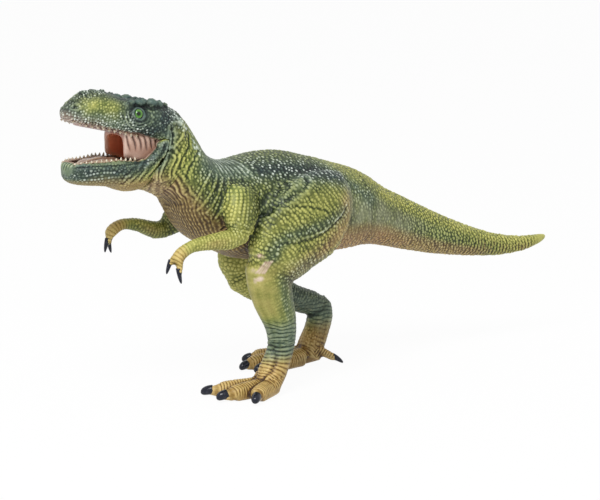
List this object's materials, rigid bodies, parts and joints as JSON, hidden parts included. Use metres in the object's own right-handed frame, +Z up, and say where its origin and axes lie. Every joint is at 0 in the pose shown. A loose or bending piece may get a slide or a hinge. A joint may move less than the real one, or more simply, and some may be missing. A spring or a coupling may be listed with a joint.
{
  "type": "toy dinosaur figure",
  "caption": "Large moulded plastic toy dinosaur, a striding two-legged meat-eater with small arms and an open mouth whose lower jaw turns on a hinge.",
  "frame": {"origin": "centre of the figure's box on the floor under the feet", "axes": "-X from tail to snout, +Y to the figure's own right side, +Z up"},
  "size_m": [0.2816, 0.0748, 0.1441],
  "materials": {
    "skin_green": "painted, satin",
    "skin_teal": "painted, satin",
    "mouth_pink": "painted, satin",
    "pin_steel": "plain"
  },
  "bodies": {
    "figure": {"torso": "skin_green", "head": "skin_teal", "mouth_lining": "mouth_pink", "jaw_pin": "pin_steel", "tail": "skin_green", "left_arm": "skin_green", "right_arm": "skin_green", "left_leg": "skin_green", "right_leg": "skin_green"},
    "jaw": {"lower_jaw": "skin_teal", "tongue": "mouth_pink"}
  },
  "joints": [
    {"name": "jaw_hinge", "type": "hinge", "parent": "figure", "child": "jaw", "pos_m": [-0.0965, -0.00209, 0.117], "axis": [0, 1, 0], "range_deg": [0, 15]}
  ]
}
